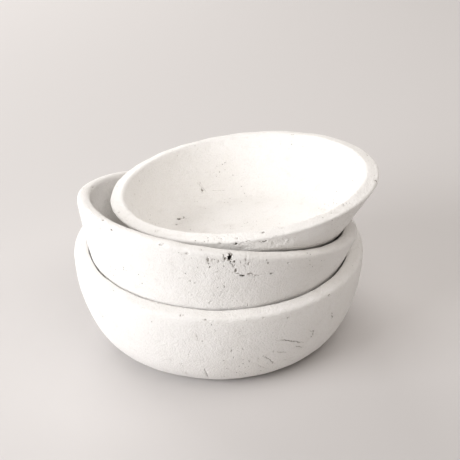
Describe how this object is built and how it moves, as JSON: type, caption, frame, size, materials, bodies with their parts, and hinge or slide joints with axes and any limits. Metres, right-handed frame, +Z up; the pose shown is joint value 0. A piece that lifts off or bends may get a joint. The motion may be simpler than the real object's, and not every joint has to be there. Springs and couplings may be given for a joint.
{
  "type": "stack of wooden bowls",
  "caption": "Hand-carved wooden bowls with a chalky white finish, dropped loosely one inside another and leaning on the rims below.",
  "frame": {"origin": "middle of the large bowl's flat foot, on the surface it stands on", "axes": "+Z up, along the large bowl's centre line; the small bowl is shifted towards +X, and the medium bowl's mouth leans towards +X and +Y"},
  "size_m": [0.3093, 0.3004, 0.1797],
  "materials": {
    "large_bowl_finish": "chalky white paint, matte, with dark pits and drying cracks",
    "medium_bowl_finish": "chalky white paint, matte, with dark pits and gouges",
    "small_bowl_finish": "chalky white paint, matte, with knots and a flaking rim"
  },
  "bodies": {
    "large_bowl": {"large_bowl": "large_bowl_finish"},
    "medium_bowl": {"medium_bowl": "medium_bowl_finish"},
    "small_bowl": {"small_bowl": "small_bowl_finish"}
  },
  "joints": [
    {"name": "medium_bowl_lift", "type": "slide", "parent": "large_bowl", "child": "medium_bowl", "axis": [0, 0, 1], "range_m": [0, 0.12]},
    {"name": "small_bowl_lift", "type": "slide", "parent": "medium_bowl", "child": "small_bowl", "axis": [0, 0, 1], "range_m": [0, 0.12]}
  ]
}
